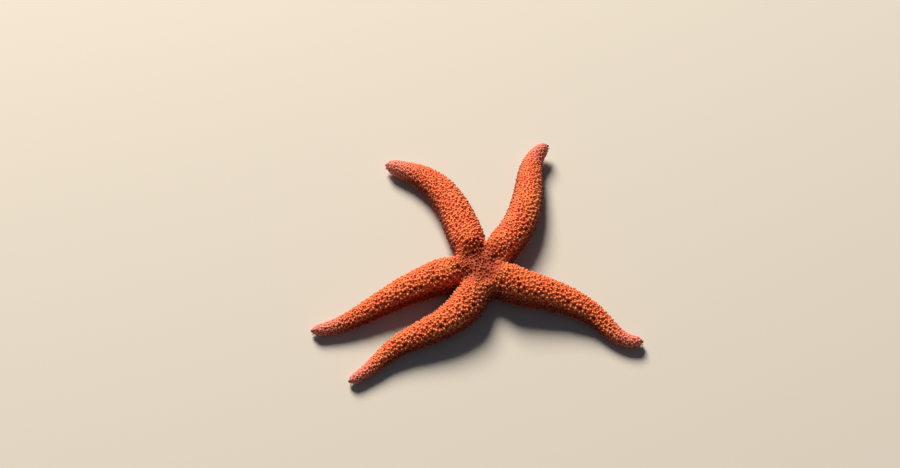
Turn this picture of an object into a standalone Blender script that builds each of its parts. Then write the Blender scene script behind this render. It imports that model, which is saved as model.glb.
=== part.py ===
"""Red sea star, life size, lying on the floor with its five arms bent and their tips raised.

The whole animal is one coarse cage under a Subdivision Surface: five arms that follow bent
centrelines, and a small disc where they meet. The floor trims it to flats at one level, and
thin cuts part it into the disc and three lengths of each arm. The sieve plate and the eyespots
are pieces of their own. Lengths are in millimetres until a mesh is made, and +Z is up.
"""

import math
from typing import NamedTuple

import bmesh
import bpy
import numpy
from mathutils import Matrix, Vector

MM = 0.001


class Arm(NamedTuple):
    """One arm. Each turn is how far it bends to its left over one equal share of its free length."""

    number: int
    heading: float  # degrees from +X, where it leaves the mouth
    length: float  # from the mouth to the middle of its rounded tip
    root: float  # half of its width where it joins the disc
    fullness: float  # a high number keeps it wide for longer before it tapers
    tip: float  # half of its width at the tip, as a share of root
    rise: float  # how far the tip lifts off the floor
    turns: tuple  # degrees


ARMS = (
    Arm(1, 50, 98, 9.6, 3.4, 0.42, 5.0, (5, 20, 10, 0, -50)),
    Arm(2, 111, 96, 10.3, 2.5, 0.40, 2.0, (-5, 5, 15, 25, 10)),
    Arm(3, 191, 97, 11.5, 1.15, 0.27, 1.0, (15, 5, 5, -5, -20)),
    Arm(4, 255, 98, 11.2, 1.15, 0.25, 1.0, (-40, -20, 0, 25, -20)),
    Arm(5, 328, 96, 12.0, 1.15, 0.27, 1.0, (30, -10, -10, -30, 65)),
)
MOUTH = (2.8, -10.85)  # places the middle of the whole outline at the origin
STRAIGHT = 10.0  # an arm runs straight this far out of the mouth before it bends
RISE_FROM = 0.78  # share of an arm's length where its tip begins to lift
TALL = 1.72  # an arm's height over its half-width
STATIONS = 10  # rings of the cage along the free part of an arm
CROWDING = 0.85  # under 1, the rings stand closer together towards the tip
FIRST_STEP = 5.0  # from the ring between the armpits to the next one

# Half of an arm's section, from the groove's roof round the side to the ridge of the back:
# how far out, in half-widths, and how far up, in heights.
GROOVE_ROOF, GROOVE_LIP, SOLE, FLANK_LOW, FLANK, SHOULDER, BACK, CREST = range(8)
SECTION = (
    (0.00, 0.25),
    (0.20, 0.03),
    (0.47, -0.045),
    (0.88, 0.09),
    (1.10, 0.44),
    (0.92, 0.84),
    (0.48, 1.04),
    (0.00, 1.08),
)
TIP_COLUMN = (0.22, 0.44, 0.66, 0.86)  # heights of the points that round off the tip

# The armpits' three points: how far out, over where the arms' sides would cross, and how far up.
ARMPIT = ((FLANK_LOW, 1.00, 0.09), (FLANK, 0.97, 0.34), (SHOULDER, 0.88, 0.54))
DISC_TOP = 13.6  # height of the disc's middle in the cage
CREASE_OUT, CREASE_UP = 0.58, 9.0  # the crease between two arms, as a share of the way to the armpit
MOUTH_ROOF = 5.2
GROOVE_STEPS = (0.36, 0.68)  # shares of the way from the mouth to the ring between the armpits
JAW_OUT, JAW_UP = 0.30, 0.6  # the corners between the grooves round the mouth
LIP_OUT, LIP_UP, LIP_TURN = 0.55, 0.2, 0.52
SOLE_OUT, SOLE_UP = 0.68, -0.5

CUT = 0.3  # gap between two pieces
DISC_REACH = 22.0  # each arm is parted from the disc this far from the mouth
MIDDLE_FROM, TIP_FROM = 0.50, 0.78  # shares of an arm's length where its other cuts are
CUT_WIDTH, CUT_HEIGHT, CUT_BELOW = 1.24, 24.0, 1.0
FLOOR_SIZE, FLOOR_DEPTH = 400.0, 20.0

PLATE_BEFORE = 5  # the sieve plate lies between this arm and the one on its left
PLATE_RADII = (2.0, 1.7, 0.9)
PLATE_OUT = 9.5  # its distance from the mouth
EYE_RADII = (0.9, 0.9, 0.6)
EYE_UP = 0.40  # height of an eyespot on the tip's front, as a share of the tip's height
FAR = 30.0  # a search for the skin starts this far off
MARCH = 0.25  # step along a centreline

FINISHES = {  # linear colour and roughness
    "granular_skin": ((0.58, 0.075, 0.022), 0.55),
    "tip_skin": ((0.42, 0.035, 0.022), 0.5),
    "pale_sieve_plate": ((0.62, 0.20, 0.09), 0.6),
    "eyespot_pigment": ((0.16, 0.006, 0.012), 0.35),
}


# Centrelines ------------------------------------------------------------------------------


def bend_rate(arm, along):
    """Radians per millimetre that the arm turns to its left, at this distance from the mouth."""
    share_length = (arm.length - STRAIGHT) / len(arm.turns)
    middles = [0.0] + [number + 0.5 for number in range(len(arm.turns))]
    turn = numpy.interp((along - STRAIGHT) / share_length, middles, (0.0, *arm.turns))
    return math.radians(turn) / share_length


def place(arm, along):
    """Where the centreline is on the floor, and the way it heads, at this distance."""
    x, y = MOUTH
    heading = math.radians(arm.heading)
    steps = max(1, round(along / MARCH))
    step = along / steps
    for number in range(steps):
        middle = (number + 0.5) * step
        turn = bend_rate(arm, middle) * step
        x += math.cos(heading + turn / 2) * step
        y += math.sin(heading + turn / 2) * step
        heading += turn
    return Vector((x, y)), heading


def half_width(arm, along):
    share = min(along / arm.length, 1.0)
    return arm.root * (1 - (1 - arm.tip) * share**arm.fullness)


def lift(arm, along):
    """How far the arm is off the floor, and the angle at which it climbs."""
    free = arm.length * (1 - RISE_FROM)
    share = max(0.0, (along - arm.length * RISE_FROM) / free)
    return arm.rise * share**2, math.atan(2 * arm.rise * share / free)


def section_point(arm, along, out, up):
    """A point of the arm's section; out is positive on the arm's left."""
    middle, heading = place(arm, along)
    half = half_width(arm, along)
    raised, climb = lift(arm, along)
    ahead = Vector((math.cos(heading), math.sin(heading)))
    left = Vector((-ahead.y, ahead.x))
    height = up * half * TALL
    flat = middle + left * out * half - ahead * height * math.sin(climb)
    return Vector((*flat, height * math.cos(climb) + raised))


# The cage ---------------------------------------------------------------------------------


def neighbour(arm):
    return ARMS[(ARMS.index(arm) + 1) % len(ARMS)]


def armpit(arm):
    """The direction and distance from the mouth of the corner on the arm's left."""
    other = neighbour(arm)
    apart = math.radians((other.heading - arm.heading) % 360)
    half = (half_width(arm, DISC_REACH) + half_width(other, DISC_REACH)) / 2
    return math.radians(arm.heading) + apart / 2, half / math.sin(apart / 2)


def from_mouth(bearing, distance, height):
    out = Vector((math.cos(bearing), math.sin(bearing))) * distance
    return Vector((MOUTH[0] + out.x, MOUTH[1] + out.y, height))


def root_station(arm):
    """The distance along the arm of the ring that runs between its two armpits."""
    before = ARMS[ARMS.index(arm) - 1]
    reaches = []
    for bearing, distance in (armpit(arm), armpit(before)):
        reaches.append(distance * math.cos(bearing - math.radians(arm.heading)))
    return sum(reaches) / 2


def stations(arm):
    """The distances of the cage's rings from the mouth, beyond the root ring."""
    start = root_station(arm) + FIRST_STEP
    for number in range(STATIONS):
        yield start + (arm.length - start) * (number / (STATIONS - 1)) ** CROWDING


def section_names():
    """Each point of a whole section: its side (1 left, -1 right, 0 in the middle) and its name."""
    for name, (out, _) in enumerate(SECTION):
        for side in (1, -1) if out else (0,):
            yield side, name


def section_vertex(mesh, arm, along, side, name):
    out, up = SECTION[name]
    return mesh.verts.new(section_point(arm, along, side * out, up))


def ring(mesh, arm, along):
    return {key: section_vertex(mesh, arm, along, *key) for key in section_names()}


def loop_of(found):
    """A ring's vertices in order, from the groove's roof up the left side and down the right."""
    names = range(GROOVE_LIP, CREST)
    left = [found[1, name] for name in names]
    right = [found[-1, name] for name in reversed(names)]
    return [found[0, GROOVE_ROOF], *left, found[0, CREST], *right]


def bridge(mesh, inner, outer):
    first, second = loop_of(inner), loop_of(outer)
    for number in range(len(first)):
        after = (number + 1) % len(first)
        mesh.faces.new((first[number], first[after], second[after], second[number]))


def close_tip(mesh, arm, last):
    """Rounds the arm off with a column of points just past its last ring."""
    column = [last[0, GROOVE_ROOF]]
    reach = arm.length + half_width(arm, arm.length)
    for up in TIP_COLUMN:
        column.append(mesh.verts.new(section_point(arm, reach, 0, up)))
    column.append(last[0, CREST])
    for side in (1, -1):
        edge = [last[side, name] for name in range(GROOVE_LIP, CREST)]
        for number in range(len(edge) - 1):
            face = (column[number], edge[number], edge[number + 1], column[number + 1])
            mesh.faces.new(face if side == 1 else face[::-1])


def root_rings(mesh):
    """The rings between the armpits. Neighbours share the points of the armpit between them."""
    corners = {}
    for arm in ARMS:
        bearing, distance = armpit(arm)
        height = half_width(arm, DISC_REACH) * TALL
        for name, out, up in ARMPIT:
            corner = mesh.verts.new(from_mouth(bearing, distance * out, height * up))
            corners[arm.number, 1, name] = corners[neighbour(arm).number, -1, name] = corner
    rings = {}
    for arm in ARMS:
        along = root_station(arm)
        found = {}
        for side, name in section_names():
            corner = corners.get((arm.number, side, name))
            found[side, name] = corner or section_vertex(mesh, arm, along, side, name)
        rings[arm.number] = found
    return rings


def patch(mesh, rows):
    """Quads over a square grid of vertices."""
    for lower, upper in zip(rows, rows[1:]):
        for number in range(len(lower) - 1):
            mesh.faces.new((lower[number], lower[number + 1], upper[number + 1], upper[number]))


def close_disc_top(mesh, rings):
    middle = mesh.verts.new((*MOUTH, DISC_TOP))
    spokes = {}
    for arm in ARMS:
        spokes[arm.number] = mesh.verts.new((middle.co + rings[arm.number][0, CREST].co) / 2)
    for arm in ARMS:
        other = neighbour(arm)
        here, there = rings[arm.number], rings[other.number]
        bearing, distance = armpit(arm)
        crease = mesh.verts.new(from_mouth(bearing, distance * CREASE_OUT, CREASE_UP))
        patch(
            mesh,
            (
                (middle, spokes[arm.number], here[0, CREST]),
                (spokes[other.number], crease, here[1, BACK]),
                (there[0, CREST], there[-1, BACK], here[1, SHOULDER]),
            ),
        )


def close_disc_underside(mesh, rings):
    """Runs each groove on to the mouth, with a jaw corner between each two grooves."""
    roof = mesh.verts.new((*MOUTH, MOUTH_ROOF))
    grooves = {}
    for arm in ARMS:
        end = rings[arm.number][0, GROOVE_ROOF].co
        grooves[arm.number] = [mesh.verts.new(roof.co.lerp(end, step)) for step in GROOVE_STEPS]
    for arm in ARMS:
        other = neighbour(arm)
        here, there = rings[arm.number], rings[other.number]
        near, far = grooves[arm.number], grooves[other.number]
        bearing, distance = armpit(arm)
        turn = (math.radians(other.heading) - bearing) % math.tau * LIP_TURN
        jaw = mesh.verts.new(from_mouth(bearing, distance * JAW_OUT, JAW_UP))
        lip = mesh.verts.new(from_mouth(bearing - turn, distance * LIP_OUT, LIP_UP))
        lip_there = mesh.verts.new(from_mouth(bearing + turn, distance * LIP_OUT, LIP_UP))
        sole = mesh.verts.new(from_mouth(bearing, distance * SOLE_OUT, SOLE_UP))
        patch(
            mesh,
            (
                (there[0, GROOVE_ROOF], there[-1, GROOVE_LIP], there[-1, SOLE], here[1, FLANK_LOW]),
                (far[1], lip_there, sole, here[1, SOLE]),
                (far[0], jaw, lip, here[1, GROOVE_LIP]),
                (roof, near[0], near[1], here[0, GROOVE_ROOF]),
            ),
        )


def in_metres(mesh, name):
    """Turns a bmesh in millimetres into an object that is in no collection yet."""
    bmesh.ops.scale(mesh, verts=mesh.verts, vec=(MM, MM, MM))
    data = bpy.data.meshes.new(name)
    mesh.to_mesh(data)
    mesh.free()
    return bpy.data.objects.new(name, data)


def make_cage(collection):
    """The whole animal's cage, in metres, with its Subdivision Surface."""
    mesh = bmesh.new()
    rings = root_rings(mesh)
    for arm in ARMS:
        last = rings[arm.number]
        for along in stations(arm):
            found = ring(mesh, arm, along)
            bridge(mesh, last, found)
            last = found
        close_tip(mesh, arm, last)
    close_disc_top(mesh, rings)
    close_disc_underside(mesh, rings)
    bmesh.ops.recalc_face_normals(mesh, faces=mesh.faces)
    cage = in_metres(mesh, "cage")
    collection.objects.link(cage)
    smooth = cage.modifiers.new("smooth", "SUBSURF")
    smooth.levels = smooth.render_levels = 1
    return cage


# Cutting ----------------------------------------------------------------------------------


def as_helper(thing, collection):
    thing.hide_render = True
    thing.display_type = "WIRE"
    collection.objects.link(thing)
    return thing


def box(name, size, matrix, collection):
    """A box of this size in millimetres, placed by a matrix in millimetres."""
    mesh = bmesh.new()
    bmesh.ops.create_cube(mesh, size=1.0)
    bmesh.ops.scale(mesh, verts=mesh.verts, vec=size)
    bmesh.ops.transform(mesh, matrix=matrix, verts=mesh.verts)
    return as_helper(in_metres(mesh, name), collection)


def cut_places(arm):
    return (DISC_REACH, arm.length * MIDDLE_FROM, arm.length * TIP_FROM)


def cutters(collection):
    """The floor, and a thin wall across each arm at each of its cuts."""
    size = (FLOOR_SIZE, FLOOR_SIZE, FLOOR_DEPTH)
    found = [box("floor", size, Matrix.Translation((0, 0, -FLOOR_DEPTH / 2)), collection)]
    for arm in ARMS:
        for number, along in enumerate(cut_places(arm)):
            middle, heading = place(arm, along)
            size = (CUT, 2 * CUT_WIDTH * half_width(arm, along), CUT_HEIGHT)
            spot = Matrix.Translation((*middle, CUT_HEIGHT / 2 - CUT_BELOW))
            turn = Matrix.Rotation(heading, 4, "Z")
            found.append(box(f"wall_{arm.number}_{number}", size, spot @ turn, collection))
    return found


def cut_away(thing, helpers):
    for helper in helpers:
        cut = thing.modifiers.new(helper.name, "BOOLEAN")
        cut.operation = "DIFFERENCE"
        cut.object = helper


def bodies(mesh):
    """The vertices of each separate body in a bmesh, always in the same order."""
    mesh.verts.index_update()
    seen = set()
    for first in mesh.verts:
        if first in seen:
            continue
        body, fresh = {first}, [first]
        while fresh:
            joined = [edge.other_vert(vertex) for vertex in fresh for edge in vertex.link_edges]
            fresh = list(set(joined) - body)
            body.update(fresh)
        seen |= body
        yield sorted(body, key=lambda vertex: vertex.index)


def piece_name(middle):
    """Which piece a body is, from where its middle lies."""
    nearest = ("disc", (middle - Vector(MOUTH)).length / 2)
    for arm in ARMS:
        root, second, third = cut_places(arm)
        ends = (("base", root, second), ("middle", second, third), ("tip", third, arm.length))
        for name, start, end in ends:
            away = (place(arm, (start + end) / 2)[0] - middle).length
            if away < nearest[1]:
                nearest = (f"arm_{arm.number}_{name}", away)
    return nearest[0]


def part_body(whole, collection):
    """Makes each body that the cuts left of this object into an object of its own."""
    graph = bpy.context.evaluated_depsgraph_get()
    mesh = bmesh.new()
    mesh.from_object(whole, graph)
    mesh.faces.index_update()
    pieces = []
    for body in bodies(mesh):
        name = piece_name(sum((vertex.co for vertex in body), Vector()).xy / len(body) / MM)
        faces = {face for vertex in body for face in vertex.link_faces}
        part = bmesh.new()
        copies = {vertex: part.verts.new(vertex.co / MM) for vertex in body}
        for face in sorted(faces, key=lambda face: face.index):
            part.faces.new([copies[vertex] for vertex in face.verts])
        pieces.append(in_metres(part, name))
        collection.objects.link(pieces[-1])
    mesh.free()
    return pieces


# The small pieces -------------------------------------------------------------------------


def ellipsoid(name, radii, matrix, segments, rings):
    """A ball scaled to these radii in millimetres and placed by a matrix in millimetres."""
    mesh = bmesh.new()
    bmesh.ops.create_uvsphere(mesh, u_segments=segments, v_segments=rings, radius=1.0)
    bmesh.ops.scale(mesh, verts=mesh.verts, vec=radii)
    bmesh.ops.transform(mesh, matrix=matrix, verts=mesh.verts)
    ball = in_metres(mesh, name)
    ball.data.shade_smooth()
    return ball


def seat(skin, start, towards):
    """A place on the skin, found along a line, with +Z pointing out of the skin there."""
    found, spot, normal, _ = skin.ray_cast(start * MM, towards)
    if not found:
        raise RuntimeError("no skin along that line")
    return Matrix.Translation(spot / MM) @ normal.to_track_quat("Z", "Y").to_matrix().to_4x4()


def tip_seat(skin, arm):
    """The middle of the tip's front."""
    end, heading = place(arm, arm.length)
    raised, climb = lift(arm, arm.length)
    height = raised + half_width(arm, arm.length) * TALL * EYE_UP
    ahead = Vector((math.cos(heading), math.sin(heading), math.tan(climb))).normalized()
    return seat(skin, Vector((*end, height)) + ahead * FAR, -ahead)


def plate_seat(skin):
    beside = next(arm for arm in ARMS if arm.number == PLATE_BEFORE)
    above = from_mouth(armpit(beside)[0], PLATE_OUT, FAR)
    return seat(skin, above, Vector((0, 0, -1)))


def in_socket(name, radii, matrix, segments, rings, collection, helpers):
    """Makes a small body, and returns it with the slightly larger hollow that it sits in."""
    body = ellipsoid(name, radii, matrix, segments, rings)
    collection.objects.link(body)
    roomy = [radius + CUT for radius in radii]
    return body, as_helper(ellipsoid(name + "_socket", roomy, matrix, segments, rings), helpers)


# The finish -------------------------------------------------------------------------------


def material(name):
    colour, roughness = FINISHES[name]
    made = bpy.data.materials.new(name)
    made.use_nodes = True
    shader = made.node_tree.nodes["Principled BSDF"]
    shader.inputs["Base Color"].default_value = (*colour, 1.0)
    shader.inputs["Roughness"].default_value = roughness
    shader.inputs["Metallic"].default_value = 0.0
    made.diffuse_color = (*colour, 1.0)
    return made


def finish_of(name):
    if name.startswith("eyespot"):
        return "eyespot_pigment"
    if name == "madreporite":
        return "pale_sieve_plate"
    return "tip_skin" if name.endswith("tip") else "granular_skin"


def main():
    for thing in list(bpy.data.objects):
        bpy.data.objects.remove(thing)
    collection = bpy.data.collections.new("red_sea_star")
    helpers = bpy.data.collections.new("cutters")
    for home in (collection, helpers):
        bpy.context.scene.collection.children.link(home)

    cage = make_cage(helpers)
    graph = bpy.context.evaluated_depsgraph_get()
    skin = cage.evaluated_get(graph)
    places = []
    for arm in ARMS:
        host, name = f"arm_{arm.number}_tip", f"eyespot_{arm.number}"
        places.append((host, name, EYE_RADII, tip_seat(skin, arm), 10, 6))
    places.append(("disc", "madreporite", PLATE_RADII, plate_seat(skin), 16, 8))

    cut_away(cage, cutters(helpers))
    pieces = part_body(cage, collection)
    bpy.data.objects.remove(cage)
    hosts = {piece.name: piece for piece in pieces}
    for host, *wanted in places:
        body, socket = in_socket(*wanted, collection, helpers)
        cut_away(hosts[host], [socket])
        pieces.append(body)

    finishes = {name: material(name) for name in FINISHES}
    for piece in pieces:
        piece.data.materials.clear()
        piece.data.materials.append(finishes[finish_of(piece.name)])


main()
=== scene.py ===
"""Looks of a life-size red sea star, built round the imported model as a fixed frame.

One pitted skin stands for the disc and the arms, and on it grow the small things: spinelets on
the net of ridges, gills in the pits, spines and tube feet along the grooves, and the mouth's
spines. The body's shape is worked out in millimetres, +Z up, and turned to metres when a mesh
is made. Properties are in Blender's own units.
"""

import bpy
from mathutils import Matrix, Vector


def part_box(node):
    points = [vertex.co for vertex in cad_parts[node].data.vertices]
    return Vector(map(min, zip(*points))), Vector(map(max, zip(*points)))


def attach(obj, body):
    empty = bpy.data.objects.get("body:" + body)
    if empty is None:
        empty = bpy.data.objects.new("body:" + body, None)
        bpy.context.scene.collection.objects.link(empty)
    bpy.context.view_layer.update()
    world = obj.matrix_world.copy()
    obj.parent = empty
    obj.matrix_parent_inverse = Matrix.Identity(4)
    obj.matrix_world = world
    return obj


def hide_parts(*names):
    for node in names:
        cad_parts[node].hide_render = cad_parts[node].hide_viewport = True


bl_info = {
    "name": "Red sea star",
    "version": (1, 0, 0),
    "blender": (4, 5, 0),
    "location": "3D View > Sidebar > Sea star",
    "description": "Skin, spinelets, gills, tube feet and stage of a life-size red sea star",
    "category": "Add Mesh",
}

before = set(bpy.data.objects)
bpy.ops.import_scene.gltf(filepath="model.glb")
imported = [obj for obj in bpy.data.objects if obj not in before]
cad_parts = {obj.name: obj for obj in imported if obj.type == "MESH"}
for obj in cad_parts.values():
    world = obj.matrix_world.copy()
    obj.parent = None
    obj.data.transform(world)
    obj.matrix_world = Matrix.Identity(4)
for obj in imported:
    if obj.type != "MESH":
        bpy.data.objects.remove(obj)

import functools
import math
from typing import NamedTuple

import bmesh
import bpy
import numpy
from mathutils import Vector, noise
from mathutils.kdtree import KDTree

MM = 0.001
BODY = "root"


# Shape of the body: the same bent arms and section as the frame's own nodes -----------------


class Arm(NamedTuple):
    """One arm. Each turn is how far it bends to its left over one equal share of its free length."""

    number: int
    heading: float  # degrees from +X, where it leaves the mouth
    length: float  # from the mouth to the middle of its rounded tip
    root: float  # half of its width where it joins the disc
    fullness: float  # a high number keeps it wide for longer before it tapers
    tip: float  # half of its width at the tip, as a share of root
    rise: float  # how far the tip lifts off the floor
    turns: tuple  # degrees


ARMS = (
    Arm(1, 50, 98, 9.6, 3.4, 0.42, 5.0, (5, 20, 10, 0, -50)),
    Arm(2, 111, 96, 10.3, 2.5, 0.40, 2.0, (-5, 5, 15, 25, 10)),
    Arm(3, 191, 97, 11.5, 1.15, 0.27, 1.0, (15, 5, 5, -5, -20)),
    Arm(4, 255, 98, 11.2, 1.15, 0.25, 1.0, (-40, -20, 0, 25, -20)),
    Arm(5, 328, 96, 12.0, 1.15, 0.27, 1.0, (30, -10, -10, -30, 65)),
)
MOUTH = numpy.array((2.8, -10.85))
STRAIGHT = 10.0  # an arm runs straight this far out of the mouth before it bends
RISE_FROM = 0.78  # share of an arm's length where its tip begins to lift
TALL = 1.72  # an arm's height over its half-width
STATIONS = 19  # rings of the cage along the free part of an arm
CROWDING = 0.85  # under 1, the rings stand closer together towards the tip
FIRST_STEP = 5.0  # from the ring between the armpits to the next one
DISC_REACH = 22.0  # where an arm's width at the disc is taken
SMOOTHING = 3  # levels of the cage's Subdivision Surface

# Half of an arm's section, from the groove's roof round the side to the ridge of the back:
# how far out, in half-widths, and how far up, in heights.
GROOVE_ROOF, GROOVE_LIP, SOLE, FLANK_LOW, FLANK, SHOULDER, BACK, CREST = range(8)
SECTION = (
    (0.00, 0.25),
    (0.20, 0.03),
    (0.47, -0.045),
    (0.88, 0.09),
    (1.10, 0.44),
    (0.92, 0.84),
    (0.48, 1.04),
    (0.00, 1.08),
)
AXIS_UP = 0.45  # height of the line that angles round an arm are taken about
UPRIGHT = 2  # how much more heights count than half-widths in those angles
TIP_COLUMN = (0.22, 0.44, 0.66, 0.86)  # heights of the points that round off the tip

# The armpits' three points: how far out, over where the arms' sides would cross, and how far up.
ARMPIT = ((FLANK_LOW, 1.00, 0.09), (FLANK, 0.97, 0.34), (SHOULDER, 0.88, 0.54))
DISC_TOP = 13.6  # height of the disc's middle in the cage
CREASE_OUT, CREASE_UP = 0.58, 9.0  # the crease between two arms, as a share of the way to the armpit
MOUTH_ROOF = 5.2  # height of the roof over the mouth
GROOVE_STEPS = (0.36, 0.68)  # shares of the way from the mouth to the ring between the armpits
JAW_OUT, JAW_UP = 0.30, 0.6  # the corners between the grooves round the mouth
LIP_OUT, LIP_UP, LIP_TURN = 0.55, 0.2, 0.52  # the grooves' lips between the jaws and the arms
SOLE_OUT, SOLE_UP = 0.68, -0.5  # the sole between a jaw and an armpit

MARCH = 0.25  # step along a centreline
TINY = 1e-9  # the least length that a way is divided by
PAST_TIP = 12.0  # a centreline goes on bending this far beyond the arm's end


def bend_rate(arm, along):
    """Radians per millimetre that the arm turns to its left, at this distance from the mouth."""
    share_length = (arm.length - STRAIGHT) / len(arm.turns)
    middles = [0.0] + [number + 0.5 for number in range(len(arm.turns))]
    turn = numpy.interp((along - STRAIGHT) / share_length, middles, (0.0, *arm.turns))
    return numpy.radians(turn) / share_length


@functools.cache
def centreline(arm):
    """Distances from the mouth, with the place on the floor and the heading at each."""
    along = numpy.arange(0.0, arm.length + PAST_TIP, MARCH)
    turn = bend_rate(arm, along[:-1] + MARCH / 2) * MARCH
    heading = math.radians(arm.heading) + numpy.append(0.0, numpy.cumsum(turn))
    middle = heading[:-1] + turn / 2
    steps = numpy.stack((numpy.cos(middle), numpy.sin(middle)), 1) * MARCH
    return along, MOUTH + numpy.vstack(((0.0, 0.0), numpy.cumsum(steps, 0))), heading


def place(arm, along):
    """Where the centreline is on the floor, and the ways ahead and to the left there."""
    line, spots, headings = centreline(arm)
    spot = numpy.stack([numpy.interp(along, line, axis) for axis in spots.T], -1)
    heading = numpy.interp(along, line, headings)
    ahead = numpy.stack((numpy.cos(heading), numpy.sin(heading)), -1)
    return spot, ahead, numpy.stack((-ahead[..., 1], ahead[..., 0]), -1)


def half_width(arm, along):
    share = numpy.clip(along / arm.length, 0.0, 1.0)
    return arm.root * (1 - (1 - arm.tip) * share**arm.fullness)


def lift(arm, along):
    """How far the arm is off the floor, and the angle at which it climbs."""
    free = arm.length * (1 - RISE_FROM)
    share = numpy.maximum(0.0, (along - arm.length * RISE_FROM) / free)
    return arm.rise * share**2, numpy.arctan(2 * arm.rise * share / free)


def section_point(arm, along, out, up):
    """Points of the arm's section; out is positive on the arm's left."""
    middle, ahead, left = place(arm, along)
    half = half_width(arm, along)
    raised, climb = lift(arm, along)
    height = up * half * TALL
    flat = middle + left * numpy.expand_dims(out * half, -1)
    flat = flat - ahead * numpy.expand_dims(height * numpy.sin(climb), -1)
    top = numpy.expand_dims(height * numpy.cos(climb) + raised, -1)
    return numpy.concatenate((flat, top), -1)


def neighbour(arm):
    return ARMS[(ARMS.index(arm) + 1) % len(ARMS)]


def armpit(arm):
    """The direction and distance from the mouth of the corner on the arm's left."""
    other = neighbour(arm)
    apart = math.radians((other.heading - arm.heading) % 360)
    half = (half_width(arm, DISC_REACH) + half_width(other, DISC_REACH)) / 2
    return math.radians(arm.heading) + apart / 2, half / math.sin(apart / 2)


def from_mouth(bearing, distance, height):
    out = MOUTH + numpy.array((math.cos(bearing), math.sin(bearing))) * distance
    return (*out, height)


def root_station(arm):
    """The distance along the arm of the ring that runs between its two armpits."""
    before = ARMS[ARMS.index(arm) - 1]
    reaches = []
    for bearing, distance in (armpit(arm), armpit(before)):
        reaches.append(distance * math.cos(bearing - math.radians(arm.heading)))
    return sum(reaches) / 2


def stations(arm):
    """The distances of the cage's rings from the mouth, beyond the root ring."""
    start = root_station(arm) + FIRST_STEP
    for number in range(STATIONS):
        yield start + (arm.length - start) * (number / (STATIONS - 1)) ** CROWDING


def section_names():
    """Each point of a whole section: its side (1 left, -1 right, 0 in the middle) and its name."""
    for name, (out, _) in enumerate(SECTION):
        for side in (1, -1) if out else (0,):
            yield side, name


def section_vertex(mesh, arm, along, side, name):
    out, up = SECTION[name]
    return mesh.verts.new(section_point(arm, along, side * out, up))


def ring(mesh, arm, along):
    return {key: section_vertex(mesh, arm, along, *key) for key in section_names()}


def loop_of(found):
    """A ring's vertices in order, from the groove's roof up the left side and down the right."""
    names = range(GROOVE_LIP, CREST)
    left = [found[1, name] for name in names]
    right = [found[-1, name] for name in reversed(names)]
    return [found[0, GROOVE_ROOF], *left, found[0, CREST], *right]


def bridge(mesh, inner, outer):
    first, second = loop_of(inner), loop_of(outer)
    for number in range(len(first)):
        after = (number + 1) % len(first)
        mesh.faces.new((first[number], first[after], second[after], second[number]))


def close_tip(mesh, arm, last):
    """Rounds the arm off with a column of points just past its last ring."""
    column = [last[0, GROOVE_ROOF]]
    reach = arm.length + half_width(arm, arm.length)
    for up in TIP_COLUMN:
        column.append(mesh.verts.new(section_point(arm, reach, 0, up)))
    column.append(last[0, CREST])
    for side in (1, -1):
        edge = [last[side, name] for name in range(GROOVE_LIP, CREST)]
        for number in range(len(edge) - 1):
            face = (column[number], edge[number], edge[number + 1], column[number + 1])
            mesh.faces.new(face if side == 1 else face[::-1])


def root_rings(mesh):
    """The rings between the armpits. Neighbours share the points of the armpit between them."""
    corners = {}
    for arm in ARMS:
        bearing, distance = armpit(arm)
        height = half_width(arm, DISC_REACH) * TALL
        for name, out, up in ARMPIT:
            corner = mesh.verts.new(from_mouth(bearing, distance * out, height * up))
            corners[arm.number, 1, name] = corners[neighbour(arm).number, -1, name] = corner
    rings = {}
    for arm in ARMS:
        along = root_station(arm)
        found = {}
        for side, name in section_names():
            corner = corners.get((arm.number, side, name))
            found[side, name] = corner or section_vertex(mesh, arm, along, side, name)
        rings[arm.number] = found
    return rings


def patch(mesh, rows):
    """Quads over a square grid of vertices."""
    for lower, upper in zip(rows, rows[1:]):
        for number in range(len(lower) - 1):
            mesh.faces.new((lower[number], lower[number + 1], upper[number + 1], upper[number]))


def close_disc_top(mesh, rings):
    middle = mesh.verts.new((*MOUTH, DISC_TOP))
    spokes = {}
    for arm in ARMS:
        spokes[arm.number] = mesh.verts.new((middle.co + rings[arm.number][0, CREST].co) / 2)
    for arm in ARMS:
        other = neighbour(arm)
        here, there = rings[arm.number], rings[other.number]
        bearing, distance = armpit(arm)
        crease = mesh.verts.new(from_mouth(bearing, distance * CREASE_OUT, CREASE_UP))
        patch(
            mesh,
            (
                (middle, spokes[arm.number], here[0, CREST]),
                (spokes[other.number], crease, here[1, BACK]),
                (there[0, CREST], there[-1, BACK], here[1, SHOULDER]),
            ),
        )


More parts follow.
